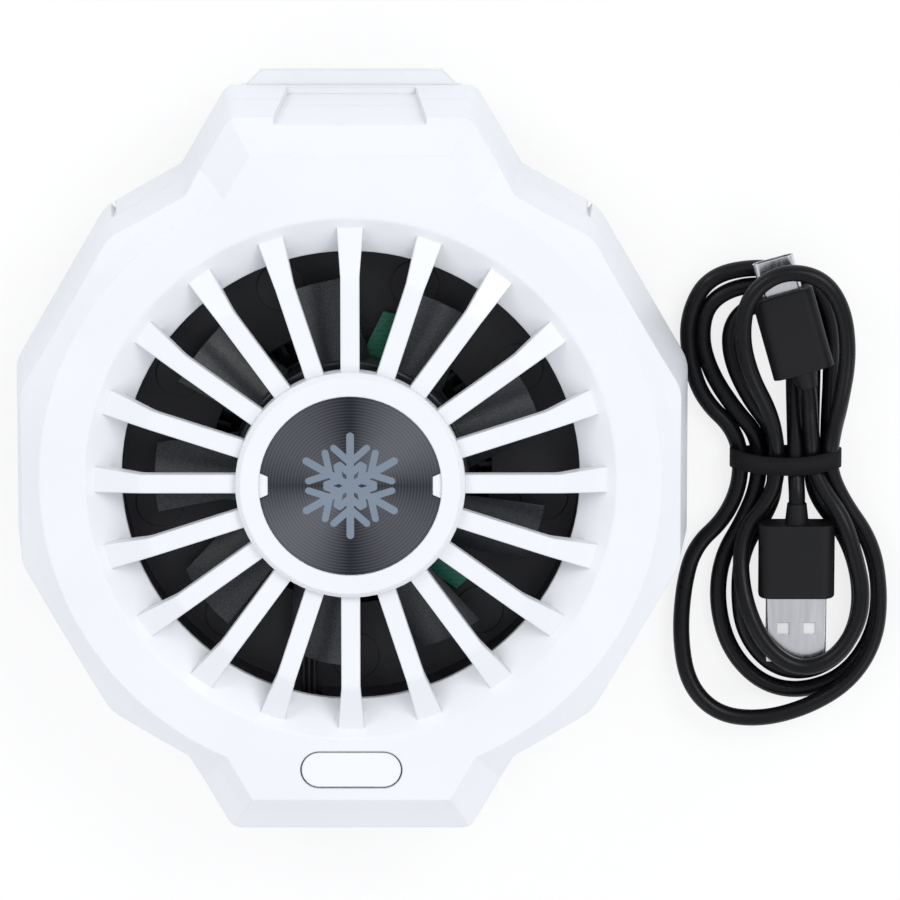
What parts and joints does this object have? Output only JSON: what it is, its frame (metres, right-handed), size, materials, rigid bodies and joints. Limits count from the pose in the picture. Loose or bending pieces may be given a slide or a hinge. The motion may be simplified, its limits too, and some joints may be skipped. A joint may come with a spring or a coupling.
{
  "type": "phone cooling fan",
  "caption": "Clip-on phone cooler: twelve-sided case with a spoked front, a finned Peltier stack, an axial fan, a sprung sliding jaw and a tied USB lead.",
  "frame": {"origin": "on the fan's axis, in the plane of the jaw tips on which the fan lies, face up", "axes": "+Z along the fan's axis, out of the front face; +Y towards the tab behind which the clamp slides out; +X towards the lead"},
  "size_m": [0.1745, 0.152, 0.0504],
  "materials": {
    "white_plastic": "fine moulded",
    "button_plastic": "satin",
    "dark_anodised": "turned, anodised",
    "ice_print": "satin",
    "smoke_plastic": "glossy",
    "black_plastic": "fine moulded",
    "board_green": "solder mask",
    "steel": "plated",
    "nickel": "plated",
    "bronze": "sintered",
    "copper_wire": "enamelled",
    "core_steel": "laminated",
    "ferrite": "bonded magnet",
    "black_aluminium": "anodised",
    "bare_aluminium": "milled",
    "ceramic": "ceramic",
    "foam": "closed-cell foam",
    "pad_grey": "soft",
    "grip_rubber": "ribbed",
    "chip_black": "moulded",
    "cord_black": "smooth sheath",
    "plug_black": "moulded",
    "tie_black": "soft",
    "plug_white": "moulded",
    "wire_sheath": "silicone"
  },
  "bodies": {
    "case": {"front_cover": "white_plastic", "rear_cover": "white_plastic", "hub_disc": "dark_anodised", "snowflake_inlay": "ice_print", "tact_switch": "chip_black", "control_board": "board_green", "control_chip": "chip_black", "power_inductor": "chip_black", "usb_c_socket": "steel", "usb_c_socket_tongue": "black_plastic", "board_screws": "steel", "fan_tray": "black_plastic", "tray_screws": "steel", "motor_board": "board_green", "motor_screws": "steel", "sleeve_bearing": "bronze", "stator_core": "core_steel", "stator_windings": "copper_wire", "heat_sink": "black_aluminium", "peltier_module": "ceramic", "insulation_frame": "foam", "cold_plate": "bare_aluminium", "thermal_pad": "pad_grey", "peltier_leads": "wire_sheath", "motor_leads": "wire_sheath", "fixed_jaw": "white_plastic", "jaw_pad_fixed": "grip_rubber", "clamp_spring_left": "nickel", "clamp_spring_right": "nickel", "jaw_screws": "steel", "case_screws": "steel", "cable_hank": "cord_black", "cable_tie": "tie_black", "usb_a_overmold": "plug_black", "usb_a_shell": "nickel", "usb_a_tongue": "plug_white", "usb_c_overmold": "plug_black", "usb_c_shell": "nickel"},
    "rotor": {"impeller": "smoke_plastic", "rotor_yoke": "nickel", "rotor_magnet": "ferrite", "fan_shaft": "nickel", "shaft_clip": "nickel"},
    "button": {"power_button": "button_plastic"},
    "plunger": {"switch_plunger": "black_plastic"},
    "clamp": {"clamp_slide": "white_plastic", "jaw_pad_moving": "grip_rubber"}
  },
  "joints": [
    {"name": "fan_spin", "type": "hinge", "parent": "case", "child": "rotor", "pos_m": [0, 0, 0.035], "axis": [0, 0, 1], "continuous": true},
    {"name": "button_press", "type": "slide", "parent": "case", "child": "button", "axis": [0, 0, -1], "range_m": [0, 0.0004], "stiffness_N_per_m": 2500, "springref_m": -0.0001},
    {"name": "switch_press", "type": "slide", "parent": "case", "child": "plunger", "axis": [0, 0, -1], "range_m": [0, 0.0004], "stiffness_N_per_m": 200, "springref_m": -0.0001},
    {"name": "clamp_slide", "type": "slide", "parent": "case", "child": "clamp", "axis": [0, 1, 0], "range_m": [0, 0.022], "stiffness_N_per_m": 300, "springref_m": -0.006, "deforming": ["clamp_spring_left", "clamp_spring_right"]}
  ],
  "couplings": [
    {"joint": "switch_press", "follows": "button_press", "ratio": 1}
  ]
}
